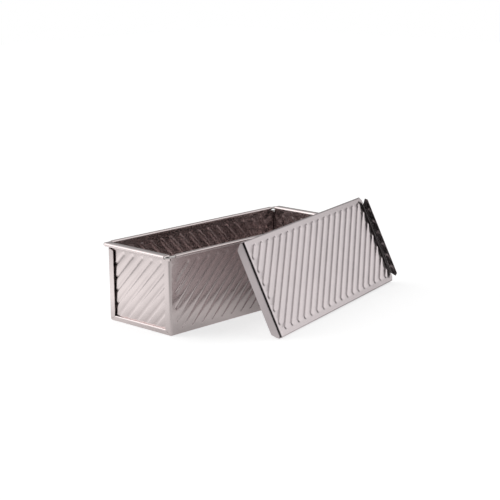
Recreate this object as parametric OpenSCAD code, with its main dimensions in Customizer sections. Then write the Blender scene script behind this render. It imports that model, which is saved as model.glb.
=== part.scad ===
// Pullman loaf pan with a sliding lid, grooved sheet metal, lid taken off and leaning on the long rim.
// The origin is the middle of the base, X runs along the pan, Z points up. All sizes are in millimetres.

/* [Pan] */
// Length of the body over its two end frames
body_l = 332; // [240:1:420]
// Width of the body outside its long walls
body_w = 123; // [100:1:150]
// Height from the table to the top of the rim
rim_h = 110; // [90:1:140]
// Thickness of the pan's sheet metal
sheet = 0.8; // [0.6:0.1:1]
// Outside radius of the pan's folds
fold_r = 3; // [2:0.5:4]
// Clearance where one sheet is nested in another
nest_gap = 0.05; // [0.03:0.01:0.1]

/* [End frames] */
// Width of the upright bands that frame an end
band_w = 10.5; // [7:0.5:14]
// Height of the band along the foot of an end
band_h = 8; // [5:0.5:12]
// Length of the edge that the hem along the foot band turns down behind it
hem_tail = 1.5; // [0.5:0.1:2]
// Depth of the end panel behind the face of the bands
recess = 3; // [2.5:0.5:5]
// Height of the upright bands at the corner of the body, below the rim top
band_drop = 8; // [7:0.5:12]
// How much lower the upright bands are at their inner edge
band_slope = 3.5; // [0:0.5:6]
// Width of the open mitre at the foot of the bands
mitre_gap = 0.3; // [0.2:0.1:0.6]

/* [Rims] */
// Diameter of the wire in the rims
wire_d = 3.6; // [2.5:0.1:4.5]
// Clearance between the wire and the sheet rolled round it
wire_gap = 0.1; // [0.05:0.05:0.2]
// Distance that an end rim stands out from the end frame
end_overhang = 8.4; // [7:0.1:12]
// Distance from the end of the body to the start of a long roll
long_roll_in = 8.3; // [6:0.1:14]
// Distance from the side of the body to the end of an end roll
end_roll_in = 2.6; // [2:0.1:5]
// Radius of the wire's bends, to the middle of the wire
wire_bend_r = 4.5; // [3:0.1:6]
// Outside radius between an end panel and its ledge
ledge_r = 2.5; // [1.5:0.1:3]

/* [Grooves] */
// Distance between neighbouring grooves, square to them
groove_pitch = 13; // [11:0.5:18]
// Width of a groove on the face of the sheet
groove_w = 6; // [3:0.5:7]
// Depth of a groove
groove_d = 1; // [0.5:0.1:1.2]
// Flat border between the foot of a wall and its grooves
border_foot = 8; // [6:0.5:15]
// Flat border between the rim top and the grooves of a wall
border_rim = 11; // [9:0.5:20]
// Flat border between the corner of a wall and its grooves
border_side = 9; // [7:0.5:15]
// Flat border between the foot and sides of an end and the grooves of its panel, half hidden by the bands
border_end = 4.5; // [4:0.5:12]
// First groove of a long wall, measured along the foot from the corner
wall_phase = 9.9; // [0:0.1:18]
// First groove of an end panel, measured along the foot from the corner
end_phase = 5.8; // [0:0.1:18]

/* [Lid] */
// Thickness of the lid's sheet metal
lid_sheet = 0.8; // [0.6:0.1:1]
// Free play of the lid over the rims, at each side and at its stop
lid_play = 0.6; // [0.3:0.1:1]
// Free height between the lid's plate and the lip of its channel, beyond the rolled rim
channel_play = 0.6; // [0.3:0.1:1.2]
// Width of the lip under the long rim
lip_w = 5; // [3.5:0.1:6]
// Outside radius of the channel's folds
channel_r = 1.6; // [1.2:0.1:2]
// Height of the stop flange, over the lid's sheet
stop_h = 13.5; // [11:0.5:18]
// Outside radius of the fold of the stop flange
stop_r = 3.5; // [2:0.1:4.5]
// Distance from the side of the lid to the side of the stop flange
stop_side = 1; // [0.5:0.1:2]
// Gap between the stop flange and the ends of the channels
channel_gap = 0.2; // [0.1:0.1:0.5]
// Size of the cut corners of the stop flange
stop_cut = 7.5; // [4:0.5:9]
// Height of the pull flange above the lid's face
pull_h = 9.7; // [8:0.1:15]
// Inside radius of the fold of the pull flange
pull_r = 2.5; // [1.5:0.1:3.5]
// Distance from the side of the lid to the foot of the pull flange
pull_neck = 11.8; // [9:0.1:16]
// Distance from the side of the lid to the widest point of the pull flange
pull_side = 5; // [3:0.1:8]
// Height of the widest point of the pull flange above the lid's face
pull_waist = 6; // [4:0.1:7]
// Size of the cut corners of the pull flange
pull_cut = 3; // [1:0.1:5]
// Size of the cut corners of the plate beside the pull flange
plate_cut = 4; // [3:0.5:6]
// Width of the slit between the pull flange and the plate's corners
neck_slit = 0.6; // [0.3:0.1:1]
// Flat border between the side of the lid and its grooves
lid_border = 8; // [7:0.5:14]
// Flat border between the stop end of the lid and its grooves
lid_border_stop = 6.5; // [5:0.5:14]
// Flat border between the pull end of the lid and its grooves
lid_border_pull = 8.5; // [6:0.5:14]
// First groove of the lid, measured along its lower edge from the stop end
lid_phase = 8.5; // [0:0.1:18]
// How far the lid reaches past the end rim when it is closed
lid_reach = 1; // [0:0.5:6]

/* [Lid at rest] */
// Angle between the lid and the pan, seen from above
lean_yaw = 14.1; // [8:0.1:20]
// Angle between the lid and the upright
lean_tilt = 24.7; // [20:0.1:30]
// Distance between the lid and the rim that it leans on
lean_gap = 0.3; // [0.2:0.1:0.6]
// Place of the lid's lower corner along the pan, from the middle of the pan
lean_x = -79.5; // [-120:0.5:-60]

/* [Hidden] */
$fn = 48;
// Rolled rims
roll_r = wire_d / 2 + wire_gap + sheet;
rim_z = rim_h - roll_r;
long_roll_y = body_w / 2 - sheet + roll_r;
end_roll_x = body_l / 2 + end_overhang - roll_r;
roll_slit = 60;
// Grooves are round bars pressed into the sheet at 45 degrees
groove_angle = 45;
groove_step = groove_pitch / sin(groove_angle);
groove_r = (pow(groove_w / 2, 2) + pow(groove_d, 2)) / (2 * groove_d);
least_groove = 4;
// The hem along the foot of an end fills the recess in front of the end panel
hem_r = (recess - nest_gap) / 2;
sill = band_h - hem_r;
// Inside of the folded wrapper, with the room that nested sheets keep from it
nest = sheet + nest_gap;
nest_r = fold_r - nest;
// Lid
pan_l = body_l + 2 * end_overhang;
lid_l = pan_l + lid_sheet + lid_play + lid_reach;
channel_h = 2 * lid_sheet + 2 * roll_r + channel_play;
lid_w = 2 * (long_roll_y + roll_r + lid_play + lid_sheet);
channel_start = lid_sheet + channel_gap;
// Lean: the ridges on the back of the lid bear on the wire's bend at the far end of the front rim
lean_n = [sin(lean_yaw) * cos(lean_tilt), -cos(lean_yaw) * cos(lean_tilt), sin(lean_tilt)];
// The round back edge of the lower channel lies on the table
lean_z = (channel_h - channel_r) * sin(lean_tilt) + channel_r * (1 - cos(lean_tilt));
bend_at = [end_roll_x - wire_bend_r, wire_bend_r - long_roll_y, rim_z];
touch = bend_at + wire_bend_r * [sin(lean_yaw), -cos(lean_yaw), 0] + wire_d / 2 * lean_n;
touch_depth = lean_gap + groove_d + lid_sheet;
lean_y = touch.y + ((touch.x - lean_x) * lean_n.x + (touch.z - lean_z) * lean_n.z + touch_depth) / lean_n.y;
lean_at = [lean_x, lean_y, lean_z];
// Small overlap that joins the shapes of one sheet, reach of a cut past its face, and a reach past any sheet
join = 0.01;
past = 1;
far = 2 * body_l;

// Round-ended bar along Z, from -len / 2 to len / 2 between the centres of its ends
module bar(len, r) {
    rotate_extrude($fn = 32) intersection() {
        union() {
            translate([-r, -len / 2]) square([2 * r, len]);
            for (s = [-1, 1]) translate([0, s * len / 2]) circle(r);
        }
        translate([0, -len]) square([2 * r, 2 * len]);
    }
}

// Ends of the groove with intercept c in the field x0..x1, y0..y1, or nothing if it is too short
function groove_ends(c, x0, x1, y0, y1) =
    let (a = max(x0, y0 + c), b = min(x1, y1 + c))
    b - a < least_groove ? [] : [[a, a - c], [b, b - c]];

// All grooves of a field whose edges are x0..x1 and y0..y1; one groove has the intercept phase
function groove_field(phase, x0, x1, y0, y1) =
    let (e = groove_w / 2, first = ceil((x0 - y1 - phase) / groove_step))
    [for (k = [first : floor((x1 - y0 - phase) / groove_step)])
        let (g = groove_ends(phase + k * groove_step, x0 + e, x1 - e, y0 + e, y1 - e))
        if (len(g) > 0) g];

// Bars along the grooves of a field on a face at z = 0 that looks along +Z
module groove_bars(field, r) {
    for (g = field)
        translate([(g[0].x + g[1].x) / 2, (g[0].y + g[1].y) / 2, groove_r - groove_d])
            rotate([0, 90, groove_angle])
                bar(norm(g[1] - g[0]), r);
}

// What the grooves add behind a sheet of thickness t
module groove_backs(field, t) {
    intersection() {
        groove_bars(field, groove_r + t);
        translate([-far, -far, -groove_d - t - past]) cube([2 * far, 2 * far, groove_d + t / 2 + past]);
    }
}

// Places the plane z = 0 on the outside of a wall, X to the right as seen from outside, Y up
module on_front() { translate([0, -body_w / 2, 0]) rotate([90, 0, 0]) children(); }
module on_back() { rotate([0, 0, 180]) on_front() children(); }
module on_base() { rotate([180, 0, 0]) children(); }
module on_left() { translate([-body_l / 2 + recess, 0, 0]) rotate([90, 0, -90]) children(); }

wall_field = groove_field(wall_phase - body_l / 2, -body_l / 2 + border_side, body_l / 2 - border_side,
    border_foot, rim_h - border_rim);
base_field = groove_field(groove_step / 2, -body_l / 2 + border_side, body_l / 2 - border_side,
    -body_w / 2 + border_foot, body_w / 2 - border_foot);
end_field = groove_field(end_phase - body_w / 2, -body_w / 2 + border_end, body_w / 2 - border_end,
    border_end, rim_h - border_rim);

// Flat shape w wide and h high, standing on y = 0, with round lower corners
module round_foot(w, h, r) {
    translate([-w / 2, r]) square([w, h - r]);
    translate([-w / 2 + r, 0]) square([w - 2 * r, r + join]);
    for (s = [-1, 1]) translate([s * (w / 2 - r), r]) circle(r);
}

// Flat rectangle with four round corners
module round_rect(l, w, r) {
    square([l - 2 * r, w], center = true);
    square([l, w - 2 * r], center = true);
    for (x = [-1, 1], y = [-1, 1]) translate([x * (l / 2 - r), y * (w / 2 - r)]) circle(r);
}

// Block standing on z = 0 with round upright edges and a round foot
module envelope(l, w, h, r) {
    intersection() {
        rotate([90, 0, 90]) linear_extrude(2 * l, center = true) round_foot(w, h, r);
        rotate([90, 0, 0]) linear_extrude(2 * w, center = true) round_foot(l, h, r);
        linear_extrude(h) round_rect(l, w, r);
    }
}

// Section of a rolled edge: a ring open over roll_slit degrees, from angle from onwards
module roll_section(from) {
    difference() {
        circle(roll_r);
        circle(roll_r - sheet);
        polygon([[0, 0], for (a = [from, from + roll_slit / 2, from + roll_slit])
            2 * roll_r * [cos(a), sin(a)]]);
    }
}

// Section of the hem on top of the foot band, with the outside towards -X
module hem_section() {
    intersection() {
        difference() {
            circle(hem_r);
            circle(hem_r - sheet);
        }
        translate([-hem_r, 0]) square([2 * hem_r, hem_r]);
    }
    translate([-hem_r, -past]) square([sheet, past]);
    translate([hem_r - sheet, -hem_tail]) square([sheet, hem_tail]);
}

// Opening in an end of the wrapper, seen from outside, Y up
module end_window() {
    outer = body_w / 2 + past;
    inner = body_w / 2 - band_w;
    top = rim_h + past;
    slope = band_slope / band_w;
    polygon([[-inner, sill], [inner, sill], [inner, rim_h - band_drop - band_slope],
        [outer, rim_h - band_drop + slope * past], [outer, top], [-outer, top],
        [-outer, rim_h - band_drop + slope * past], [-inner, rim_h - band_drop - band_slope]]);
}

module wrapper_sheet() {
    difference() {
        envelope(body_l, body_w, rim_z, fold_r);
        translate([0, 0, sheet])
            envelope(body_l - 2 * sheet, body_w - 2 * sheet, rim_h, fold_r - sheet);
        for (s = [0, 180]) rotate([0, 0, s]) {
            // window of the end frame, through the band and its folds
            translate([-body_l / 2 - past, 0, 0]) rotate([90, 0, 90])
                linear_extrude(fold_r + past) end_window();
            // open mitre where the foot band meets an upright band, from the window to the corner
            mitre_l = norm([band_w, sill]);
            for (m = [-1, 1])
                translate([-body_l / 2 - past, m * (body_w / 2 - band_w), sill])
                    rotate([m * atan2(band_w, sill), 0, 0]) translate([0, -mitre_gap / 2, -mitre_l])
                        cube([past + sheet + join, mitre_gap, mitre_l + past]);
            // notch where the rolled edge stops short of the corner
            translate([-body_l / 2 - past, -body_w, rim_z - roll_r])
                cube([long_roll_in + past, 2 * body_w, 2 * roll_r]);
        }
    }
    for (s = [0, 180]) rotate([0, 0, s]) {
        translate([0, -long_roll_y, rim_z]) rotate([90, 0, 90])
            linear_extrude(body_l - 2 * long_roll_in, center = true) roll_section(-roll_slit);
        translate([-body_l / 2 + hem_r, 0, sill]) rotate([90, 0, 0])
            linear_extrude(body_w - 2 * band_w - 2 * mitre_gap, center = true) hem_section();
    }
}

module wrapper() {
    color([0.78, 0.74, 0.73])
    difference() {
        union() {
            wrapper_sheet();
            on_front() groove_backs(wall_field, sheet);
            on_back() groove_backs(wall_field, sheet);
            on_base() groove_backs(base_field, sheet);
        }
        on_front() groove_bars(wall_field, groove_r);
        on_back() groove_bars(wall_field, groove_r);
        on_base() groove_bars(base_field, groove_r);
    }
}

// Section of an end panel's top, from its plate outwards, with the outside towards -X
module ledge_section() {
    plate_x = -body_l / 2 + recess;
    bend_x = plate_x + sheet - ledge_r;
    translate([-end_roll_x, rim_z]) roll_section(270);
    // ledge
    translate([-end_roll_x, rim_h - sheet]) square([bend_x + end_roll_x, sheet]);
    // fold from the ledge to the plate
    translate([bend_x, rim_h - ledge_r]) intersection() {
        difference() {
            circle(ledge_r);
            circle(ledge_r - sheet);
        }
        square(ledge_r);
    }
    // top of the plate
    translate([plate_x, rim_z - roll_r]) square([sheet, rim_h - ledge_r - rim_z + roll_r]);
}

module end_panel() {
    plate_top = rim_z - roll_r + join;
    difference() {
        union() {
            // tray with a lip along its foot and sides, nested in the wrapper
            intersection() {
                translate([0, 0, nest]) envelope(body_l - 2 * nest, body_w - 2 * nest, rim_h, nest_r);
                difference() {
                    translate([-body_l / 2, -body_w / 2, 0]) cube([recess + sheet, body_w, plate_top]);
                    translate([-body_l / 2 - past, -body_w / 2 + nest + sheet, nest + sheet])
                        cube([recess + past, body_w - 2 * (nest + sheet), rim_h]);
                }
            }
            rotate([90, 0, 0]) linear_extrude(body_w - 2 * end_roll_in, center = true) ledge_section();
            on_left() groove_backs(end_field, sheet);
        }
        on_left() groove_bars(end_field, groove_r);
    }
}

module end_panel_left() { color([0.86, 0.83, 0.82]) end_panel(); }

module end_panel_right() { color([0.86, 0.83, 0.82]) rotate([0, 0, 180]) end_panel(); }

module rim_wire() {
    straight_x = end_roll_x - wire_bend_r;
    straight_y = long_roll_y - wire_bend_r;
    color([0.7, 0.68, 0.68])
    translate([0, 0, rim_z]) for (s = [0, 180]) rotate([0, 0, s]) {
        translate([0, -long_roll_y, 0]) rotate([0, 90, 0]) cylinder(h = 2 * straight_x, d = wire_d, center = true);
        translate([-end_roll_x, 0, 0]) rotate([90, 0, 0]) cylinder(h = 2 * straight_y, d = wire_d, center = true);
        for (c = [[-straight_x, -straight_y, 180], [straight_x, -straight_y, 270]])
            translate([c.x, c.y, 0]) rotate([0, 0, c.z]) rotate_extrude(angle = 90)
                translate([wire_bend_r, 0]) circle(d = wire_d);
    }
}

// Section of one long edge of the lid: the plate's border, the fold, the web and the lip, outside at y = 0
module channel_section() {
    difference() {
        union() {
            translate([channel_r, -channel_h]) square([lip_w - channel_r, channel_h]);
            translate([0, -channel_h + channel_r]) square([lip_w, channel_h - 2 * channel_r]);
            for (y = [-channel_r, -channel_h + channel_r]) translate([channel_r, y]) circle(channel_r);
        }
        inner_r = channel_r - lid_sheet;
        translate([channel_r, -channel_h + lid_sheet]) square([lip_w, channel_h - 2 * lid_sheet]);
        translate([lid_sheet, -channel_h + channel_r]) square([lip_w, channel_h - 2 * channel_r]);
        for (y = [-channel_r, -channel_h + channel_r]) translate([channel_r, y]) circle(inner_r);
    }
}

// Quarter ring that turns a plate lying above y = -t, left of x = 0, down to a flange
module fold_section(r, t) {
    intersection() {
        difference() {
            circle(r);
            circle(r - t);
        }
        translate([-r, 0]) square(r);
    }
}

// Stop flange, turned down at x = 0
module stop_flange() {
    cut = stop_side + stop_cut;
    intersection() {
        translate([0, lid_w - stop_side, 0]) rotate([90, 0, 0]) linear_extrude(lid_w - 2 * stop_side) {
            translate([stop_r, -stop_r]) fold_section(stop_r, lid_sheet);
            translate([0, -stop_h]) square([lid_sheet, stop_h - stop_r]);
        }
        translate([-past, 0, 0]) rotate([90, 0, 90]) linear_extrude(stop_r + past + join)
            polygon([[0, join], [0, -stop_h + cut], [cut, -stop_h - join], [lid_w - cut, -stop_h - join],
                [lid_w, -stop_h + cut], [lid_w, join]]);
    }
}

// Pull flange, turned up at x = lid_l, narrower at its foot
module pull_flange() {
    r = pull_r + lid_sheet;
    shoulder = pull_side + pull_cut;
    intersection() {
        translate([0, lid_w, 0]) rotate([90, 0, 0]) linear_extrude(lid_w) {
            translate([lid_l - r, r - lid_sheet]) rotate(180) fold_section(r, lid_sheet);
            translate([lid_l - lid_sheet, pull_r]) square([lid_sheet, pull_h - pull_r]);
        }
        translate([lid_l - r - join, 0, 0]) rotate([90, 0, 90]) linear_extrude(r + past)
            for (s = [0, 1]) translate([s * lid_w, 0]) mirror([s, 0])
                polygon([[pull_neck, -lid_sheet - join], [pull_neck, 0], [pull_side, pull_waist],
                    [shoulder, pull_h + join], [lid_w / 2 + join, pull_h + join],
                    [lid_w / 2 + join, -lid_sheet - join]]);
    }
}

// Lid lying with its outer face at z = 0 and its stop end at x = 0
module lid_flat() {
    field = groove_field(lid_phase, lid_border_stop, lid_l - lid_border_pull, lid_border, lid_w - lid_border);
    plate_end = lid_l - pull_r - lid_sheet;
    difference() {
        union() {
            // plate between the folds, with two corners that reach past the foot of the pull flange
            translate([0, 0, -lid_sheet]) linear_extrude(lid_sheet) {
                translate([stop_r, channel_r]) square([plate_end - stop_r, lid_w - 2 * channel_r]);
                for (s = [0, 1]) translate([0, s * lid_w]) mirror([0, s])
                    polygon([[plate_end - join, channel_r], [lid_l - plate_cut, channel_r],
                        [lid_l, channel_r + plate_cut], [lid_l, pull_neck - neck_slit],
                        [plate_end - join, pull_neck - neck_slit]]);
            }
            for (s = [0, 1]) translate([0, s * lid_w, 0]) mirror([0, s, 0])
                translate([channel_start, 0, 0]) rotate([90, 0, 90])
                    linear_extrude(lid_l - plate_cut - channel_start) channel_section();
            stop_flange();
            pull_flange();
            groove_backs(field, lid_sheet);
        }
        groove_bars(field, groove_r);
    }
}

module lid() {
    color([0.84, 0.82, 0.83])
    translate(lean_at) rotate([0, 0, lean_yaw]) rotate([90 - lean_tilt, 0, 0]) lid_flat();
}

wrapper();
end_panel_left();
end_panel_right();
rim_wire();
lid();
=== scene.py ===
# %% [markdown]
# A pullman loaf pan is folded from thin sheets: one sheet makes the two long walls and the base, two
# pressed panels close the ends, a steel wire stiffens the rim, and a fifth piece slides over it as a lid.
# Every face carries the same slanting grooves. The solids in model.glb give each piece its size and
# place, and this script gives the sheets their soft pressed forms and their champagne coat.

# %% Load the frame
import math

import bmesh
import bpy
import numpy as np
from mathutils import Matrix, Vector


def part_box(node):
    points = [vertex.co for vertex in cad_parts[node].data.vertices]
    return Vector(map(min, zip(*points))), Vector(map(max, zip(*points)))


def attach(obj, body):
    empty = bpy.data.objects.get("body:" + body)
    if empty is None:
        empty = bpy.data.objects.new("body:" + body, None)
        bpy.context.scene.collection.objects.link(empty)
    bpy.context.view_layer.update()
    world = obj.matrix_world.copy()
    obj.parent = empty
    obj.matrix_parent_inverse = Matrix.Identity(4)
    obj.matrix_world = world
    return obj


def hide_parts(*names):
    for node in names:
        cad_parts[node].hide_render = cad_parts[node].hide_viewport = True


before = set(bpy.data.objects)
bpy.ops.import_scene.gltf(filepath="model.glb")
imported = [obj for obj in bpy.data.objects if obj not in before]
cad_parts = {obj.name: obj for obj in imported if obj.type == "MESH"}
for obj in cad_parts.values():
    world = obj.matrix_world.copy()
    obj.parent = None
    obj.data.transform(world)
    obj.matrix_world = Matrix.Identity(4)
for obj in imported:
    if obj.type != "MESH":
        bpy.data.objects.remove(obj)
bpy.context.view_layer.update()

# %% [markdown]
# All shapes below are worked out in millimetres, as a tinsmith would measure them, and they become metres
# when a mesh is made. The overall sizes are read from the solids, so that the looks follow them. The
# smaller ones, such as the folds and the spacing of the grooves, are named here.

# %% Sizes of the pan, in millimetres
MM = 0.001
SHEET = 0.8
WIRE_D = 3.6
WIRE_GAP = 0.1
ROLL_OUT = WIRE_D / 2 + WIRE_GAP + SHEET
ROLL_MID = ROLL_OUT - SHEET / 2
FOLD_R = 3.0
FOLD_MID = FOLD_R - SHEET / 2

wrapper_low, wrapper_high = (np.array(corner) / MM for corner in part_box("wrapper"))
panel_low = np.array(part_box("end_panel_left")[0]) / MM
BODY_L = wrapper_high[0] - wrapper_low[0]
BODY_W = 2 * (wrapper_high[1] - 2 * ROLL_OUT + SHEET)
RIM_H = wrapper_high[2]
RIM_Z = RIM_H - ROLL_OUT
WALL_TOP = RIM_Z - ROLL_OUT
LONG_ROLL_Y = BODY_W / 2 - SHEET + ROLL_OUT
LONG_ROLL_STOP = 8.3
END_ROLL_STOP = 2.6
LONG_ROLL_X = BODY_L / 2 - LONG_ROLL_STOP
END_ROLL_X = -panel_low[0] - ROLL_OUT
END_ROLL_Y = BODY_W / 2 - END_ROLL_STOP
RECESS = 3.0
BAND_W = 10.5
BAND_H = 8.0
BAND_DROP = 8.0
BAND_SLOPE = 3.5
MITRE_GAP = 0.3
HEM_GAP = 0.05
HEM_OUT = (RECESS - HEM_GAP) / 2
SILL = BAND_H - HEM_OUT
print(f"body {BODY_L:.1f} x {BODY_W:.1f} x {RIM_H:.1f} mm, rims roll round a {WIRE_D} mm wire")

# %% [markdown]
# The grooves are pressed at 45 degrees. In the plane of any face a groove is a straight line, and the
# difference between its two coordinates, its intercept, is the same all along it. A groove has a flat floor
# and two flanks, with no sharp edge between them, and it ends in the same flank turned round its end point.
# Cut bars would leave hard edges, so the depth is a smooth formula of the distance to the nearest groove.
# The press goes in less deep on the walls and the ends than on the lid.

# %% Depth of the grooves
GROOVE_PITCH = 13
GROOVE_STEP = GROOVE_PITCH * math.sqrt(2)
GROOVE_D = 1.0
GROOVE_REACH = 3.7
GROOVE_FLANK = 3.0
GROOVE_END = 3.0
LEAST_GROOVE = 4.0
WALL_SHARE = 0.45
END_SHARE = 0.5


def pressed(across, up, phase, low, high):
    """Depth of the grooves at a point of a face. The nearest groove is the one whose intercept is closest
    to across - up. The point's distance to that groove's centre line, which stops short of the field's
    edges, gives the share t of the flank that it has passed, and the depth is D t^2 (3 - 2 t)."""
    near = phase + GROOVE_STEP * np.round((across - up - phase) / GROOVE_STEP)
    start = np.maximum(low[0] + GROOVE_END, low[1] + GROOVE_END + near)
    stop = np.minimum(high[0] - GROOVE_END, high[1] - GROOVE_END + near)
    foot = np.clip((across + up + near) / 2, start, np.maximum(start, stop))
    distance = np.hypot(across - foot, up - (foot - near))
    t = np.clip((GROOVE_REACH - distance) / GROOVE_FLANK, 0, 1)
    return np.where(stop - start < LEAST_GROOVE, 0.0, GROOVE_D * t * t * (3 - 2 * t))


# %% [markdown]
# A grid with square cells would cut the slanting grooves into steps. Here the grid itself is slanted: each
# row is shifted sideways as far as it lies up the face, so the grid's columns run along the grooves and
# can be close together on a groove's flanks and wide apart on the flats between. Where a slanted row
# passes the edge of the face, its points are held at the edge, and welding removes the spare ones.

# %% Grids
FLANKS = np.array([-5.25, -4.2, -3.15, -2.1, -1.05, 1.05, 2.1, 3.15, 4.2, 5.25])
END_OUT, END_IN = 1.0, 3.0


def slanted_columns(phase, low, high):
    """Column positions that repeat with the grooves and reach from low to high."""
    first = math.floor((low - phase) / GROOVE_STEP) - 1
    last = math.ceil((high - phase) / GROOVE_STEP) + 1
    periods = phase + GROOVE_STEP * np.arange(first, last + 1)
    return np.sort((periods[:, None] + FLANKS[None, :]).ravel())


def spaced(*stops, step):
    """Even steps from stop to stop, none wider than step, with every stop kept."""
    counts = [max(1, math.ceil(abs(b - a) / step)) for a, b in zip(stops, stops[1:])]
    runs = [np.linspace(a, b, count + 1)[:-1] for a, b, count in zip(stops, stops[1:], counts)]
    return np.concatenate(runs + [np.array([stops[-1]])])


def finer(rows, low, high):
    """Halves the steps near low and high, where the grooves of a field end."""
    middle = (rows[1:] + rows[:-1]) / 2
    near_low = (middle > low - END_OUT) & (middle < low + END_IN)
    near_high = (middle > high - END_IN) & (middle < high + END_OUT)
    ordered = np.sort(np.concatenate([rows, middle[near_low | near_high]]))
    return ordered if rows[-1] > rows[0] else ordered[::-1]


def snap(row, value):
    """Moves the nearest point of a row on to value, so that a neighbouring strip can start there."""
    row[np.argmin(np.abs(row - value))] = value


def points(*parts):
    """Stacks coordinates that broadcast together into one grid of points."""
    return np.stack(np.broadcast_arrays(*parts), axis=-1)


def quarter_turn(steps):
    """Even angles from nought to a right angle, for a bend that is drawn in so many steps."""
    return np.linspace(0, math.pi / 2, steps + 1)


def turned(grid):
    """The same grid turned half round the vertical axis."""
    return grid * np.array([-1.0, -1.0, 1.0])


# %% [markdown]
# Each piece is drawn as the middle layer of its sheet, from several grids that share their edges. A grid
# becomes triangles, and welding the shared edges makes one surface, so no seam shows where the real sheet
# has none.

# %% Arrays to a mesh and back
def mesh_of(name, vertices, triangles):
    """A mesh from arrays of vertices and triangles."""
    mesh = bpy.data.meshes.new(name)
    mesh.vertices.add(len(vertices))
    mesh.vertices.foreach_set("co", vertices.astype(np.float32).ravel())
    mesh.loops.add(triangles.size)
    mesh.loops.foreach_set("vertex_index", triangles.astype(np.int32).ravel())
    mesh.polygons.add(len(triangles))
    mesh.polygons.foreach_set("loop_start", np.arange(0, triangles.size, 3, dtype=np.int32))
    mesh.update(calc_edges=True)
    return mesh


def arrays_of(mesh):
    """A triangle mesh's vertices and triangles as arrays."""
    vertices = np.empty(len(mesh.vertices) * 3, np.float32)
    mesh.vertices.foreach_get("co", vertices)
    triangles = np.empty(len(mesh.loops), np.int32)
    mesh.loops.foreach_get("vertex_index", triangles)
    return vertices.reshape(-1, 3).astype(float), triangles.reshape(-1, 3)


def grid_triangles(rows, columns, start):
    """Two triangles for each cell of a grid whose points are stored row by row."""
    corner = start + (np.arange(rows - 1)[:, None] * columns + np.arange(columns - 1)[None, :]).ravel()
    lower = np.stack([corner, corner + 1, corner + columns + 1], axis=1)
    upper = np.stack([corner, corner + columns + 1, corner + columns], axis=1)
    return np.concatenate([lower, upper])


# %% Weld the grids
WELD = 0.004


def tidied(mesh, weld):
    """Welds points that coincide, if asked, and turns all faces the same way round."""
    shell = bmesh.new()
    shell.from_mesh(mesh)
    if weld:
        bmesh.ops.remove_doubles(shell, verts=shell.verts, dist=WELD)
        loose = [edge for edge in shell.edges if not edge.link_faces]
        bmesh.ops.delete(shell, geom=loose, context="EDGES")
    bmesh.ops.recalc_face_normals(shell, faces=shell.faces)
    shell.to_mesh(mesh)
    shell.free()


def weld_grids(name, grids):
    """One surface from several grids of points."""
    starts = np.cumsum([0] + [g.shape[0] * g.shape[1] for g in grids[:-1]])
    vertices = np.concatenate([g.reshape(-1, 3) for g in grids])
    triangles = np.concatenate([grid_triangles(g.shape[0], g.shape[1], s) for g, s in zip(grids, starts)])
    mesh = mesh_of(name, vertices, triangles)
    tidied(mesh, weld=True)
    return mesh


# %% [markdown]
# Then the sheet gets its thickness: every point moves half a sheet outwards along its normal, a copy moves
# half a sheet inwards, and a narrow rim closes the cut edges. The pressed side and the raised side of a
# groove then match, as they do on real sheet.

# %% Give the sheet its thickness
def vertex_normals(vertices, triangles):
    """The sum of the area vectors of the triangles round each vertex, made one unit long."""
    a, b, c = (vertices[triangles[:, k]] for k in range(3))
    area = np.cross(b - a, c - a)
    total = np.zeros_like(vertices)
    for k in range(3):
        np.add.at(total, triangles[:, k], area)
    return total / np.maximum(np.linalg.norm(total, axis=1), 1e-12)[:, None]


def thickened(vertices, triangles, thickness):
    """Both skins of a sheet, and a rim along each edge that only one triangle has."""
    offset = vertex_normals(vertices, triangles) * thickness / 2
    count = len(vertices)
    edges = np.concatenate([triangles[:, [0, 1]], triangles[:, [1, 2]], triangles[:, [2, 0]]])
    key = np.sort(edges, axis=1) @ np.array([count, 1])
    _, where, times = np.unique(key, return_index=True, return_counts=True)
    rim = edges[where[times == 1]]
    a, b = rim[:, 0], rim[:, 1]
    walls = np.concatenate([np.stack([b, a, a + count], 1), np.stack([b, a + count, b + count], 1)])
    faces = np.concatenate([triangles, triangles[:, ::-1] + count, walls])
    return np.concatenate([vertices + offset, vertices - offset]), faces


# %% [markdown]
# A finished piece stays at the origin, with its place in its mesh. It is smooth up to its cut edges, rides on
# its body, and stands for the solid that it replaces.

# %% Finish a piece
CREASE = math.radians(50)


def finished_piece(name, body, vertices, triangles, replaced):
    """Makes the object in metres, shades it smooth up to its cut edges, and hangs it on its body."""
    mesh = mesh_of(name, vertices * MM, triangles)
    tidied(mesh, weld=False)
    mesh.polygons.foreach_set("use_smooth", np.ones(len(mesh.polygons), bool))
    mesh.set_sharp_from_angle(angle=CREASE)
    piece = bpy.data.objects.new(name, mesh)
    bpy.context.scene.collection.objects.link(piece)
    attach(piece, body)
    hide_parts(replaced)
    print(f"{name}: {len(mesh.vertices)} vertices, {len(mesh.polygons)} triangles")
    return piece


def sheet_piece(name, body, grids, thickness, replaced):
    """A finished piece of sheet metal from the grids of its middle layer."""
    middle = weld_grids(name, grids)
    vertices, triangles = thickened(*arrays_of(middle), thickness)
    bpy.data.meshes.remove(middle)
    return finished_piece(name, body, vertices, triangles, replaced)


# %% [markdown]
# The wrapper is one long strip that runs down the front wall, along the bottom and up the back wall. It could
# be three plates joined at their edges, but a real fold is one sheet, so it is drawn as it would lie flat,
# row by row, with the place and outward direction of each row given by the U that it is folded to.

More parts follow.
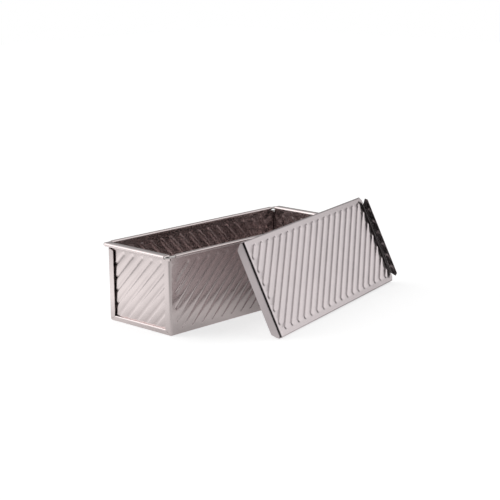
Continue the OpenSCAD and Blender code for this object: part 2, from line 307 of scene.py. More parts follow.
# %% Rows of the wrapper
BORDER_FOOT = 8.0
BORDER_RIM = 11.0
BORDER_SIDE = 9.0
FIRST_WALL_GROOVE = 9.9
WALL_PHASE = FIRST_WALL_GROOVE - BODY_L / 2
BASE_PHASE = GROOVE_STEP / 2
ROW_STEP = 2.0
FOLD_STEPS = 7
FOLD_X = BODY_L / 2 - FOLD_R
FOLD_Y = BODY_W / 2 - FOLD_R
FOLD_Z = FOLD_R
BAND_CUT = RIM_H - BAND_DROP - BAND_SLOPE * (SHEET / 2) / BAND_W
HEM_Y = BODY_W / 2 - BAND_W - MITRE_GAP

wall_z = finer(spaced(WALL_TOP, BAND_CUT, SILL, FOLD_Z, step=ROW_STEP), BORDER_FOOT, RIM_H - BORDER_RIM)
base_y = spaced(-FOLD_Y, -HEM_Y, HEM_Y, FOLD_Y, step=ROW_STEP)
fold_angle = quarter_turn(FOLD_STEPS)[1:-1]
row_centre = np.concatenate([
    points(-FOLD_Y, wall_z),
    points(-FOLD_Y, FOLD_Z + 0 * fold_angle),
    points(base_y, FOLD_Z),
    points(FOLD_Y, FOLD_Z + 0 * fold_angle),
    points(FOLD_Y, wall_z[::-1]),
])
row_out = np.concatenate([
    points(-1.0, 0 * wall_z),
    points(-np.cos(fold_angle), -np.sin(fold_angle)),
    points(0 * base_y, -1.0),
    points(np.sin(fold_angle), -np.cos(fold_angle)),
    points(1.0, 0 * wall_z),
])
row_at = row_centre + FOLD_MID * row_out
row_along = np.concatenate([[0], np.cumsum(np.linalg.norm(np.diff(row_at, axis=0), axis=1))])
row_y, row_z = row_at[:, 0], row_at[:, 1]
is_front = row_out[:, 0] == -1
is_back = row_out[:, 0] == 1
is_base = row_out[:, 1] == -1

# %% [markdown]
# The grooves of the three faces don't line up, so the slant of the rows changes a little in the plain border
# near each fold, and the columns meet the next face's grooves.

# %% Slant of the rows
fold_arc = FOLD_MID * math.pi / 2


def next_shift(wanted, phase):
    """The shift nearest to the wanted one at which the columns meet grooves of that phase."""
    return phase + GROOVE_STEP * round((wanted - phase) / GROOVE_STEP)


base_shift = next_shift(FOLD_Z - fold_arc - FOLD_Y, BASE_PHASE - WALL_PHASE)
back_shift = next_shift(base_shift - FOLD_Y - fold_arc + FOLD_Z, -2 * WALL_PHASE)
shift = np.select([is_front, is_base, is_back], [row_z, base_shift - row_y, back_shift - row_z], 0.0)
settled = np.select(
    [is_front | is_back, is_base], [row_z >= BORDER_FOOT, np.abs(row_y) <= BODY_W / 2 - BORDER_FOOT], False)
shift = np.interp(row_along, row_along[settled], shift[settled])

# %% [markdown]
# The faces are one grid of rows and slanted columns. Each point moves inwards by the depth of the grooves at
# its place, so the pressed forms are in the mesh itself, where a bump in the finish would leave it flat.

# %% Faces of the wrapper
columns = slanted_columns(WALL_PHASE, -FOLD_X - shift.max(), FOLD_X - shift.min())
face_x = np.clip(columns[None, :] + shift[:, None], -FOLD_X, FOLD_X)
for edge_row in (face_x[0], face_x[-1]):
    snap(edge_row, -LONG_ROLL_X)
    snap(edge_row, LONG_ROLL_X)

wall_field = ((-BODY_L / 2 + BORDER_SIDE, BORDER_FOOT), (BODY_L / 2 - BORDER_SIDE, RIM_H - BORDER_RIM))
base_field = ((-BODY_L / 2 + BORDER_SIDE, -BODY_W / 2 + BORDER_FOOT),
              (BODY_L / 2 - BORDER_SIDE, BODY_W / 2 - BORDER_FOOT))
up = np.broadcast_to(row_z[:, None], face_x.shape)
along_y = np.broadcast_to(row_y[:, None], face_x.shape)
depth = np.select(
    [is_front[:, None], is_back[:, None], is_base[:, None]],
    [WALL_SHARE * pressed(face_x, up, WALL_PHASE, *wall_field),
     WALL_SHARE * pressed(-face_x, up, WALL_PHASE, *wall_field),
     pressed(face_x, -along_y, BASE_PHASE, *base_field)],
    0.0)
faces_grid = points(face_x, row_y[:, None] - row_out[:, :1] * depth, row_z[:, None] - row_out[:, 1:] * depth)
print(f"wrapper faces: {faces_grid.shape[0]} rows of up to {faces_grid.shape[1]} points")

# %% [markdown]
# At each end the strip folds once more, round a second corner, and its edges become the flat frame round
# the end panel. Every row goes round a quarter circle and then straight on to the window. In the lower
# corners all rows of the first fold meet in one point, and from there the open mitre runs to the window.
# The upper ends of the upright bands are cut on a slant.

# %% End frames of the wrapper
BAND_STEPS = 5
WINDOW_Y = BODY_W / 2 - BAND_W
turn = quarter_turn(FOLD_STEPS)
mitre_run = np.array([FOLD_Y - WINDOW_Y, SILL - FOLD_Z])
mitre_run = mitre_run / np.linalg.norm(mitre_run)
fold_rows = row_centre[:, None, :] + FOLD_MID * np.cos(turn)[None, :, None] * row_out[:, None, :]
fold_x = -FOLD_X - FOLD_MID * np.sin(turn)[None, :]

reach_up = np.clip((row_z - FOLD_Z) / (SILL - FOLD_Z), 0, 1)
reach_in = np.clip((FOLD_Y - np.abs(row_y)) / (FOLD_Y - WINDOW_Y), 0, 1)
side_gap = np.where(reach_up < 1, MITRE_GAP / 2 / mitre_run[1], 0)
foot_gap = np.where(reach_in < 1, MITRE_GAP / 2 / mitre_run[0], 0)
side_run = np.maximum(reach_up * (FOLD_Y - WINDOW_Y) - side_gap, 0)
foot_run = np.maximum(reach_in * (SILL - FOLD_Z) - foot_gap, 0)
run = np.select([is_front | is_back, is_base], [side_run, foot_run], 0.0)
inward = -row_out * run[:, None]
band_share = np.linspace(0, 1, BAND_STEPS + 1)[1:]
band_rows = row_centre[:, None, :] + band_share[None, :, None] * inward[:, None, :]
frame_yz = np.concatenate([fold_rows, band_rows], axis=1)
frame_x = np.concatenate([fold_x, np.full((1, BAND_STEPS), -FOLD_X - FOLD_MID)], axis=1)
from_side = BODY_W / 2 - np.abs(frame_yz[..., 0])
slanted_top = RIM_H - BAND_DROP - BAND_SLOPE * from_side / BAND_W
frame_z = np.minimum(frame_yz[..., 1], slanted_top)
frame_grid = points(frame_x, frame_yz[..., 0], frame_z)

# %% [markdown]
# The foot of each window is hemmed: the sheet's edge turns half round, as a tinsmith folds a raw edge away,
# and ends in a short tail behind the band.

# %% Hem along the foot of each window
HEM_MID = HEM_OUT - SHEET / 2
HEM_TAIL = 1.5
hem_turn = np.linspace(0, math.pi, 11)
hem_centre = -BODY_L / 2 + HEM_OUT
hem_x = np.concatenate([hem_centre - HEM_MID * np.cos(hem_turn), [hem_centre + HEM_MID]])
hem_z = np.concatenate([SILL + HEM_MID * np.sin(hem_turn), [SILL - HEM_TAIL]])
hem_y = base_y[np.abs(base_y) <= HEM_Y + WELD]
hem_grid = points(hem_x[None, :], hem_y[:, None], hem_z[None, :])

# %% [markdown]
# The long top edges roll outwards round the wire. The roll is a profile, most of a circle, carried along the
# wall's top row of points, so the two share their edge and weld without a gap.

# %% Rolls along the long rims
ROLL_STEPS = 21
ROLL_TURN = math.radians(300)
roll_angle = np.linspace(0, ROLL_TURN, ROLL_STEPS)
roll_y = np.concatenate([[-LONG_ROLL_Y + ROLL_MID], -LONG_ROLL_Y + ROLL_MID * np.cos(roll_angle)])
roll_z = np.concatenate([[WALL_TOP], RIM_Z + ROLL_MID * np.sin(roll_angle)])


def roll_columns(edge_row):
    """The points of a wall's top row that carry the roll."""
    return edge_row[np.abs(edge_row) <= LONG_ROLL_X + WELD]


front_roll = points(roll_columns(face_x[0])[None, :], roll_y[:, None], roll_z[:, None])
back_roll = points(-roll_columns(face_x[-1])[None, :], roll_y[:, None], roll_z[:, None])

# %% The wrapper
wrapper_grids = [faces_grid, frame_grid, turned(frame_grid), hem_grid, turned(hem_grid), front_roll,
                 turned(back_roll)]
wrapper = sheet_piece("folded_wrapper", "pan", wrapper_grids, SHEET, "wrapper")

# %% [markdown]
# An end panel is a shallow tray that stands in the frame. Its plate has the same grooves, a narrow lip
# turns outwards along its foot and sides, and its top edge turns outwards as a flat ledge and rolls round
# the wire. The ledge and the roll are one profile in the plane across the rim, carried along it.

# %% End panels
PLATE_X = -BODY_L / 2 + RECESS + SHEET / 2
PLATE_Y = END_ROLL_Y
PLATE_FOOT = 2.6
LIP_TURN = 0.8
LIP_REACH = 1.3
LIP_END = PLATE_X - LIP_REACH
LEDGE_R = 2.5
LEDGE_MID = LEDGE_R - SHEET / 2
BORDER_END = 4.5
FIRST_END_GROOVE = 5.8
END_PHASE = FIRST_END_GROOVE - BODY_W / 2
PANEL_STEP = 1.1
END_ROLL_TURN = math.radians(240)

plate_z = finer(spaced(WALL_TOP, PLATE_FOOT, step=PANEL_STEP), BORDER_END, RIM_H - BORDER_RIM)
plate_columns = slanted_columns(-END_PHASE, -PLATE_Y, PLATE_Y + WALL_TOP)
plate_y = np.clip(plate_columns[None, :] - plate_z[:, None], -PLATE_Y, PLATE_Y)
end_field = ((-BODY_W / 2 + BORDER_END, BORDER_END), (BODY_W / 2 - BORDER_END, RIM_H - BORDER_RIM))
plate_depth = END_SHARE * pressed(-plate_y, plate_z[:, None] + 0 * plate_y, END_PHASE, *end_field)
plate_grid = points(PLATE_X + plate_depth, plate_y, plate_z[:, None])

foot_y = plate_y[-1]
corner_turn = quarter_turn(5)[1:-1]
lip_centre = np.concatenate([
    points(-PLATE_Y, plate_z), points(-PLATE_Y, PLATE_FOOT + 0 * corner_turn), points(foot_y, PLATE_FOOT),
    points(PLATE_Y, PLATE_FOOT + 0 * corner_turn), points(PLATE_Y, plate_z[::-1])])
lip_out = np.concatenate([
    points(-1.0, 0 * plate_z), points(-np.cos(corner_turn), -np.sin(corner_turn)), points(0 * foot_y, -1.0),
    points(np.sin(corner_turn), -np.cos(corner_turn)), points(1.0, 0 * plate_z)])
lip_turn = quarter_turn(4)
lip_reach = np.concatenate([LIP_TURN * np.sin(lip_turn), [LIP_TURN]])
lip_x = np.concatenate([PLATE_X - LIP_TURN * (1 - np.cos(lip_turn)), [LIP_END]])
lip_yz = lip_centre[:, None, :] + lip_reach[None, :, None] * lip_out[:, None, :]
lip_grid = points(lip_x[None, :], lip_yz[..., 0], lip_yz[..., 1])

ledge_turn = quarter_turn(8)
end_roll_angle = np.linspace(math.pi / 2, math.pi / 2 + END_ROLL_TURN, 24)
ledge_x = PLATE_X - LEDGE_MID * (1 - np.cos(ledge_turn))
ledge_z = RIM_H - SHEET / 2 - LEDGE_MID * (1 - np.sin(ledge_turn))
rim_x = np.concatenate([[PLATE_X], ledge_x, -END_ROLL_X + ROLL_MID * np.cos(end_roll_angle)])
rim_z = np.concatenate([[WALL_TOP], ledge_z, RIM_Z + ROLL_MID * np.sin(end_roll_angle)])
rim_grid = points(rim_x[:, None], plate_y[0][None, :], rim_z[:, None])

panel_grids = [plate_grid, lip_grid, rim_grid]
left_end = sheet_piece("grooved_end_left", "pan", panel_grids, SHEET, "end_panel_left")
right_end = sheet_piece(
    "grooved_end_right", "pan", [turned(g) for g in panel_grids], SHEET, "end_panel_right")

# %% [markdown]
# The wire is one closed loop: a circle carried along a rectangle with round corners. It shows only at the
# four notches, where the rolls stop short of each other.

# %% The wire in the rims
WIRE_BEND = 4.5
WIRE_SIDES = 28
bend_angle = quarter_turn(12)
corner_x = END_ROLL_X - WIRE_BEND
corner_y = LONG_ROLL_Y - WIRE_BEND
wire_turn = np.concatenate([bend_angle + quarter * math.pi / 2 for quarter in range(4)])
wire_side = np.repeat(np.array([[1, 1], [-1, 1], [-1, -1], [1, -1]]), len(bend_angle), axis=0)
wire_out = points(np.cos(wire_turn), np.sin(wire_turn))
wire_at = wire_side * np.array([corner_x, corner_y]) + WIRE_BEND * wire_out
around = np.linspace(0, 2 * math.pi, WIRE_SIDES, endpoint=False)
wire_x = wire_at[:, :1] + WIRE_D / 2 * np.cos(around)[None, :] * wire_out[:, :1]
wire_y = wire_at[:, 1:] + WIRE_D / 2 * np.cos(around)[None, :] * wire_out[:, 1:]
wire_z = RIM_Z + WIRE_D / 2 * np.sin(around)[None, :]
wire_points = points(wire_x, wire_y, wire_z).reshape(-1, 3)
ring = np.arange(len(wire_at))[:, None] * WIRE_SIDES
side = np.arange(WIRE_SIDES)[None, :]
next_ring = (ring + WIRE_SIDES) % len(wire_points)
next_side = (side + 1) % WIRE_SIDES
a, b, c, d = ((r + s).ravel() for r, s in
              ((ring, side), (next_ring, side), (next_ring, next_side), (ring, next_side)))
wire_faces = np.concatenate([np.stack([a, b, c], 1), np.stack([a, c, d], 1)])
wire = finished_piece("rim_loop", "pan", wire_points, wire_faces, "rim_wire")

# %% [markdown]
# The lid is drawn lying flat, with u along it from the stop end, v across it from its lower edge, and n
# out of its outer face. A short formula then leans it against the rim: its plane is turned by the yaw and
# the tilt, its lower channel lies on the table, and the ridges on its back stop a hair short of the bend of
# the wire.

# %% Place of the lid
LID_SHEET = 0.8
LID_PLAY = 0.6
CHANNEL_R = 1.6
CHANNEL_PLAY = 0.6
CHANNEL_H = 2 * LID_SHEET + 2 * ROLL_OUT + CHANNEL_PLAY
LID_SPARE = 1.0
LID_L = 2 * (END_ROLL_X + ROLL_OUT) + LID_SHEET + LID_PLAY + LID_SPARE
LID_W = 2 * (LONG_ROLL_Y + ROLL_OUT + LID_PLAY + LID_SHEET)
LID_START = -79.5
RIDGE_GAP = 0.3
YAW, TILT = math.radians(14.1), math.radians(24.7)
lid_n = np.array([math.sin(YAW) * math.cos(TILT), -math.cos(YAW) * math.cos(TILT), math.sin(TILT)])
lid_u = np.array([math.cos(YAW), math.sin(YAW), 0.0])
lid_v = np.cross(lid_n, lid_u)
bend_out = WIRE_BEND * np.array([math.sin(YAW), -math.cos(YAW), 0.0])
touch = np.array([corner_x, -corner_y, RIM_Z]) + bend_out + WIRE_D / 2 * lid_n
lid_foot = (CHANNEL_H - CHANNEL_R) * math.sin(TILT) + CHANNEL_R * (1 - math.cos(TILT))
lid_at = np.array([LID_START, 0.0, lid_foot])
lid_at[1] = ((touch - lid_at) @ lid_n + RIDGE_GAP + GROOVE_D + LID_SHEET) / lid_n[1]
LID_PHASE = 8.5
print("lid corner at", lid_at.round(2), "mm, first groove at", round(LID_PHASE % GROOVE_STEP, 2), "mm")


def leaned(u, v, n):
    """Points of the lying lid, moved to the leaning one."""
    flat = points(u, v, n)
    return lid_at + flat[..., :1] * lid_u + flat[..., 1:2] * lid_v + flat[..., 2:] * lid_n


# %% [markdown]
# The plate is a slanted grid like the walls. Its border is plain, a little wider at the pull end, and its two
# corners there are cut off, with a slit beside the neck of the pull flange.

# %% Plate of the lid
LID_BORDER = 8.0
LID_BORDER_STOP = 6.5
LID_BORDER_PULL = 8.5
STOP_R = 3.5
STOP_H = 13.5
PULL_R = 2.5
PULL_H = 9.7
PULL_NECK = 11.8
PULL_SIDE = 5.0
PULL_WAIST = 6.0
PULL_CUT = 3.0
PLATE_CUT = 4.0
NECK_SLIT = 0.6
LID_STEP = 1.15
PULL_STEP = 0.95
plate_end = LID_L - PULL_R - LID_SHEET
skin = -LID_SHEET / 2
lid_stops = [CHANNEL_R, CHANNEL_R + PLATE_CUT, PULL_NECK - NECK_SLIT, PULL_NECK]
lid_v_rows = finer(spaced(*lid_stops, *[LID_W - stop for stop in lid_stops[::-1]], step=LID_STEP),
                   LID_BORDER, LID_W - LID_BORDER)
lid_columns = slanted_columns(LID_PHASE, STOP_R - LID_W, plate_end)
lid_grid_u = np.clip(lid_columns[None, :] + lid_v_rows[:, None], STOP_R, plate_end)
for edge_row in (lid_grid_u[0], lid_grid_u[-1]):
    snap(edge_row, LID_L - PLATE_CUT)
lid_grid_v = np.broadcast_to(lid_v_rows[:, None], lid_grid_u.shape)
lid_field = ((LID_BORDER_STOP, LID_BORDER), (LID_L - LID_BORDER_PULL, LID_W - LID_BORDER))
lid_depth = pressed(lid_grid_u, lid_grid_v, LID_PHASE, *lid_field)
lid_plate = leaned(lid_grid_u, lid_grid_v, skin - lid_depth)

# %% [markdown]
# At the left end the plate turns down over a round bend into the stop flange. The bend is a quarter circle in
# rows of points, and the flange goes straight on from it, with its lower corners cut off.

# %% Stop flange, turned down
STOP_CUT = 8.5
STOP_STEPS = 8
stop_mid = STOP_R - LID_SHEET / 2
stop_turn = quarter_turn(8)
stop_drop = np.linspace(-STOP_R, -STOP_H, STOP_STEPS + 1)[1:]
stop_u = np.concatenate([STOP_R - stop_mid * np.sin(stop_turn), np.full(STOP_STEPS, STOP_R - stop_mid)])
stop_n = np.concatenate([-STOP_R + stop_mid * np.cos(stop_turn), stop_drop])
stop_side = np.maximum(CHANNEL_R, -stop_n - STOP_H + STOP_CUT)
stop_v = np.clip(lid_v_rows[None, :], stop_side[:, None], LID_W - stop_side[:, None])
stop_grid = leaned(stop_u[:, None], stop_v, stop_n[:, None])

# %% [markdown]
# At the right end the plate turns up into the flange by which the lid is pulled. It leaves the plate in a
# narrower neck, widens, and narrows again towards its top edge.

# %% Pull flange, turned up, and the plate's corners beside it
pull_mid = PULL_R + LID_SHEET / 2
pull_turn = quarter_turn(8)
pull_rise = spaced(PULL_R, PULL_WAIST, PULL_H, step=PULL_STEP)[1:]
pull_end = np.full(len(pull_rise), plate_end + pull_mid)
pull_u = np.concatenate([plate_end + pull_mid * np.sin(pull_turn), pull_end])
pull_n = np.concatenate([PULL_R - pull_mid * np.cos(pull_turn), pull_rise])
pull_edge = np.interp(pull_n, [0, PULL_WAIST, PULL_H], [PULL_NECK, PULL_SIDE, PULL_SIDE + PULL_CUT])
neck_v = lid_v_rows[(lid_v_rows >= PULL_NECK - WELD) & (lid_v_rows <= LID_W - PULL_NECK + WELD)]
widened = (LID_W / 2 - pull_edge) / (LID_W / 2 - PULL_NECK)
pull_v = LID_W / 2 + widened[:, None] * (neck_v[None, :] - LID_W / 2)
pull_grid = leaned(pull_u[:, None], pull_v, pull_n[:, None])

corner_v = lid_v_rows[lid_v_rows <= PULL_NECK - NECK_SLIT + WELD]
corner_end = np.clip(LID_L - PLATE_CUT + corner_v - CHANNEL_R, plate_end, LID_L)
corner_u = plate_end + np.linspace(0, 1, 4)[:, None] * (corner_end - plate_end)[None, :]
corner_grid = leaned(corner_u, corner_v[None, :], skin)
far_corner_grid = leaned(corner_u, LID_W - corner_v[None, :], skin)

# %% [markdown]
# Both long edges fold down and in, and make the channels that run on the rims of the pan. One profile of two
# quarter circles, a wall between them and a lip is carried along each edge of the plate.

# %% Channels along the long edges
channel_mid = CHANNEL_R - LID_SHEET / 2
LIP_W = 5.0
quarter = quarter_turn(6)
upper_v = CHANNEL_R - channel_mid * np.sin(quarter)
upper_n = -CHANNEL_R + channel_mid * np.cos(quarter)
lower_v = CHANNEL_R - channel_mid * np.cos(quarter)
lower_n = CHANNEL_R - CHANNEL_H - channel_mid * np.sin(quarter)
channel_v = np.concatenate([upper_v, lower_v, [LIP_W]])
channel_n = np.concatenate([upper_n, lower_n, lower_n[-1:]])


def channel_columns(edge_row):
    """The points of the plate's edge that carry the channel."""
    return edge_row[edge_row <= LID_L - PLATE_CUT + WELD]


near_channel = leaned(channel_columns(lid_grid_u[0])[None, :], channel_v[:, None], channel_n[:, None])
far_channel = leaned(channel_columns(lid_grid_u[-1])[None, :], LID_W - channel_v[:, None], channel_n[:, None])

# %% The lid
lid_grids = [lid_plate, stop_grid, pull_grid, corner_grid, far_corner_grid, near_channel, far_channel]
lid = sheet_piece("grooved_lid", "lid", lid_grids, LID_SHEET, "lid")

# %% [markdown]
# The sheets carry a champagne coat with a metallic glint: a mirror blurred by a fine grain. The colour
# barely changes over the sheet, the gloss changes more, in soft cloudy patches where hands and oven heat
# have been, and a very fine bump breaks the reflections up as a sprayed coat does.

# %% Helpers for the finishes
def material(name):
    """An empty node material with its shader."""
    made = bpy.data.materials.new(name)
    made.use_nodes = True
    nodes = made.node_tree.nodes
    nodes.clear()
    shader = nodes.new("ShaderNodeBsdfPrincipled")
    output = nodes.new("ShaderNodeOutputMaterial")
    made.node_tree.links.new(shader.outputs["BSDF"], output.inputs["Surface"])
    return made, shader


def noise(tree, scale, detail):
    """Noise in the object's own coordinates, in features per metre."""
    place = tree.nodes.new("ShaderNodeTexCoord")
    texture = tree.nodes.new("ShaderNodeTexNoise")
    texture.inputs["Scale"].default_value = scale
    texture.inputs["Detail"].default_value = detail
    tree.links.new(place.outputs["Object"], texture.inputs["Vector"])
    return texture.outputs["Fac"]


NOISE_LOW, NOISE_HIGH = 0.35, 0.65


def spread(tree, source, low, high):
    """Stretches a noise, which mostly stays between those two values, to run from low to high."""
    ramp = tree.nodes.new("ShaderNodeMapRange")
    ramp.inputs["From Min"].default_value = NOISE_LOW
    ramp.inputs["From Max"].default_value = NOISE_HIGH
    ramp.inputs["To Min"].default_value = low
    ramp.inputs["To Max"].default_value = high
    tree.links.new(source, ramp.inputs["Value"])
    return ramp.outputs["Result"]


def mixed(tree, factor, first, second):
    """Blends two colours by a factor that varies over the surface. The node's sockets 6 and 7 are its two
    colours and 2 is its coloured result, as sockets of other kinds have the same names."""
    mix = tree.nodes.new("ShaderNodeMix")
    mix.data_type = "RGBA"
    tree.links.new(factor, mix.inputs["Factor"])
    mix.inputs[6].default_value = (*first, 1)
    mix.inputs[7].default_value = (*second, 1)
    return mix.outputs[2]


# %% The champagne coat
CLOUDS, CLOUD_DETAIL = 22, 3
GRAIN, GRAIN_DETAIL = 1800, 2
DARKER, LIGHTER = 0.95, 1.04
COAT_ROUGHNESS = 0.22
ROUGHNESS_SWING = 0.03
GRAIN_HEIGHT = 0.00002
GRAIN_STRENGTH = 0.12


def champagne(name, colour):
    """Sprayed champagne coat over sheet steel."""
    made, shader = material(name)
    tree = made.node_tree
    clouds = noise(tree, CLOUDS, CLOUD_DETAIL)
    grain = noise(tree, GRAIN, GRAIN_DETAIL)
    dark = tuple(DARKER * c for c in colour)
    light = tuple(LIGHTER * c for c in colour)
    tree.links.new(mixed(tree, spread(tree, clouds, 0, 1), dark, light), shader.inputs["Base Color"])
    rough = spread(tree, clouds, COAT_ROUGHNESS - ROUGHNESS_SWING, COAT_ROUGHNESS + ROUGHNESS_SWING)
    tree.links.new(rough, shader.inputs["Roughness"])
    bump = tree.nodes.new("ShaderNodeBump")
    bump.inputs["Strength"].default_value = GRAIN_STRENGTH
    bump.inputs["Distance"].default_value = GRAIN_HEIGHT
    tree.links.new(grain, bump.inputs["Height"])
    tree.links.new(bump.outputs["Normal"], shader.inputs["Normal"])
    shader.inputs["Metallic"].default_value = 1.0
    return made


# %% [markdown]
# The pan, the lid and the wire differ a little in colour, as pieces from different batches of coating do.

# %% Coat the pieces
pan_coat = champagne("champagne_coat", (0.75, 0.668, 0.66))
lid_coat = champagne("champagne_coat_lid", (0.735, 0.662, 0.67))
steel = champagne("coated_wire", (0.70, 0.66, 0.65))
for piece, coat in ((wrapper, pan_coat), (left_end, pan_coat), (right_end, pan_coat), (wire, steel),
                    (lid, lid_coat)):
    piece.data.materials.append(coat)
    print(piece.name, "wears", coat.name)

# %% [markdown]
# The camera stands low and to the left of the pan, far enough away that the long edges hardly converge. Its
# place, its lens and its small roll come from matching the corners of the pan and the lid to the picture.

# %% Camera
CAMERA_AT = (-1.37878, -1.38615, 0.5255)
AZIMUTH = math.radians(-45.82)
ELEVATION = math.radians(12.87)
ROLL = math.radians(0.57)
FOCAL_PIXELS = 1420.1
FRAME_PIXELS = 500
SENSOR = 36.0

ahead = np.array([-math.sin(AZIMUTH) * math.cos(ELEVATION), math.cos(AZIMUTH) * math.cos(ELEVATION),
                  -math.sin(ELEVATION)])
level = np.array([math.cos(AZIMUTH), math.sin(AZIMUTH), 0.0])
down = np.cross(ahead, level)
image_right = level * math.cos(ROLL) + down * math.sin(ROLL)
image_up = level * math.sin(ROLL) - down * math.cos(ROLL)
camera_data = bpy.data.cameras.new("camera")
camera_data.sensor_width = SENSOR
camera_data.lens = SENSOR * FOCAL_PIXELS / FRAME_PIXELS
camera_data.clip_start = 0.05
camera_data.clip_end = 50
camera = bpy.data.objects.new("camera", camera_data)
bpy.context.scene.collection.objects.link(camera)
axes = np.stack([image_right, image_up, -ahead], axis=1)
camera.matrix_world = Matrix([[*axes[k], CAMERA_AT[k]] for k in range(3)] + [[0, 0, 0, 1]])
bpy.context.scene.camera = camera
print(f"camera lens {camera_data.lens:.1f} mm")

# %% [markdown]
# Shiny sheet shows its surroundings, so they are made with care: soft white panels stand to the left, to the
# right and behind, and the side of the camera is dark. The folds that face the camera turn black there, as
# they do on the real sheet. Lamps would give hard glints, so the panels are soft spots on the world itself:
# each is given by its elevation, its azimuth from the camera's side round to the right, both in degrees, its
# brightness and its focus.

# %% The panels
WIDE, NARROW = 16.0, 100.0
PANELS = [(7, 52, 0.08, WIDE), (7, 77, 0.15, WIDE), (7, 103, 0.66, WIDE), (10, 118, 0.5, NARROW),
          (7, 180, 0.06, WIDE), (7, 231, 1.1, WIDE), (7, 257, 0.92, WIDE), (7, 283, 0.95, WIDE),
          (32, 90, 0.7, WIDE), (32, 120, 0.38, WIDE), (32, 180, 0.63, WIDE), (32, 240, 0.09, WIDE),
          (32, 270, 1.1, WIDE), (32, 300, 0.38, WIDE), (58, 95, 0.58, WIDE), (58, 206, 0.58, WIDE),
          (58, 257, 1.7, WIDE)]
flat_ahead = np.array([-math.sin(AZIMUTH), math.cos(AZIMUTH), 0.0])


def heading(elevation, azimuth):
    """The direction at an elevation and an azimuth that is counted from the camera's side to the right."""
    rise, turn_by = math.radians(elevation), math.radians(azimuth)
    flat = math.sin(turn_by) * level - math.cos(turn_by) * flat_ahead
    return math.cos(rise) * flat + np.array([0.0, 0.0, math.sin(rise)])


def calculate(tree, operation, *values):
    """One sum, product or other operation on values that are sockets or numbers."""
    node = tree.nodes.new("ShaderNodeMath")
    node.operation = operation
    for k, value in enumerate(values):
        if isinstance(value, (int, float)):
            node.inputs[k].default_value = value
        else:
            tree.links.new(value, node.inputs[k])
    return node.outputs[0]


# %% [markdown]
# The cosine of the angle from a panel's middle, less one, is nought at the middle and falls away from it.
# Times the focus, it is the power of e that gives the brightness, so a panel fades softly. The camera itself
# sees plain white instead of the panels.

# %% The studio round the pan
world = bpy.data.worlds.new("studio")
bpy.context.scene.world = world
world.use_nodes = True
studio = world.node_tree
studio.nodes.clear()
direction = studio.nodes.new("ShaderNodeTexCoord").outputs["Generated"]
light = 0.0
for elevation, azimuth, brightness, focus in PANELS:
    aim = studio.nodes.new("ShaderNodeVectorMath")
    aim.operation = "DOT_PRODUCT"
    aim.inputs[1].default_value = heading(elevation, azimuth)
    studio.links.new(direction, aim.inputs[0])
    near_axis = calculate(studio, "SUBTRACT", aim.outputs["Value"], 1.0)
    fall = calculate(studio, "EXPONENT", calculate(studio, "MULTIPLY", near_axis, focus))
    light = calculate(studio, "ADD", calculate(studio, "MULTIPLY", fall, brightness), light)
seen = studio.nodes.new("ShaderNodeLightPath").outputs["Is Camera Ray"]
unseen = calculate(studio, "SUBTRACT", 1.0, seen)
background = studio.nodes.new("ShaderNodeBackground")
background.inputs["Color"].default_value = (1, 1, 1, 1)
output = studio.nodes.new("ShaderNodeOutputWorld")
strength = calculate(studio, "ADD", calculate(studio, "MULTIPLY", light, unseen), seen)
studio.links.new(strength, background.inputs["Strength"])
studio.links.new(background.outputs[0], output.inputs["Surface"])
print(len(PANELS), "soft panels light the sheet")
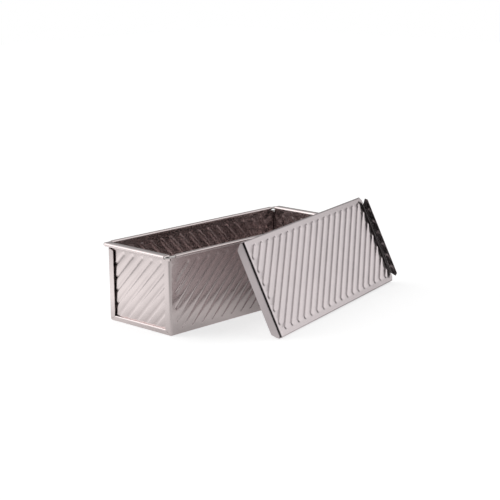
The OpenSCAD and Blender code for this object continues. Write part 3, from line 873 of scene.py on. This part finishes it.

# %% [markdown]
# The floor looks white and keeps the soft shadow under the pan. Painted pools of light glow in its emission
# and show in the sheets that face down to it; only mirrored rays see them, so the floor itself stays even.
# Each is given by its azimuth, its distance in metres, the reach at which it has lost half its light, and its
# brightness.

# %% Floor
FLOOR_HALF = 4.0
FLOOR_GREY = 0.6
FLOOR_ROUGHNESS = 0.9
FLOOR_LIFT = 0.72
POOLS = [(-90, 0.6, 0.35, 0.24), (-80, 0.35, 0.2, 0.63), (0, 0.5, 0.35, 0.07), (45, 0.5, 0.35, 0.15),
         (66, 0.36, 0.28, 0.12), (19, 0.134, 0.06, 0.27)]
floor_mesh = bpy.data.meshes.new("floor")
corners = [(-FLOOR_HALF, -FLOOR_HALF, 0), (FLOOR_HALF, -FLOOR_HALF, 0), (FLOOR_HALF, FLOOR_HALF, 0),
           (-FLOOR_HALF, FLOOR_HALF, 0)]
floor_mesh.from_pydata(corners, [], [(0, 1, 2, 3)])
floor = bpy.data.objects.new("floor", floor_mesh)
bpy.context.scene.collection.objects.link(floor)
paper, paper_shader = material("white_paper")
paper_tree = paper.node_tree
paper_shader.inputs["Base Color"].default_value = (FLOOR_GREY, FLOOR_GREY, FLOOR_GREY, 1)
paper_shader.inputs["Roughness"].default_value = FLOOR_ROUGHNESS
paper_shader.inputs["Specular IOR Level"].default_value = 0.0
paper_shader.inputs["Emission Color"].default_value = (1, 1, 1, 1)
spot = paper_tree.nodes.new("ShaderNodeTexCoord").outputs["Object"]
pooled = 0.0
for azimuth, distance, reach, brightness in POOLS:
    away = paper_tree.nodes.new("ShaderNodeVectorMath")
    away.operation = "DISTANCE"
    away.inputs[1].default_value = distance * heading(0, azimuth)
    paper_tree.links.new(spot, away.inputs[0])
    share = calculate(paper_tree, "DIVIDE", away.outputs["Value"], reach)
    fall = calculate(paper_tree, "POWER", 0.5, calculate(paper_tree, "MULTIPLY", share, share))
    pooled = calculate(paper_tree, "ADD", calculate(paper_tree, "MULTIPLY", fall, brightness), pooled)
rays = paper_tree.nodes.new("ShaderNodeLightPath")
# painted light: the pools glow in the floor's emission, and only mirrored rays see them
mirrored = calculate(paper_tree, "MULTIPLY", pooled, rays.outputs["Is Glossy Ray"])
lifted = calculate(paper_tree, "MULTIPLY", rays.outputs["Is Camera Ray"], FLOOR_LIFT)
paper_tree.links.new(calculate(paper_tree, "ADD", mirrored, lifted), paper_shader.inputs["Emission Strength"])
floor_mesh.materials.append(paper)
print(len(POOLS), "pools of light lie on the floor")

# %% [markdown]
# The view transform is plain, so a colour renders about as it is written.

# %% Finish
bpy.context.scene.view_settings.view_transform = "Standard"
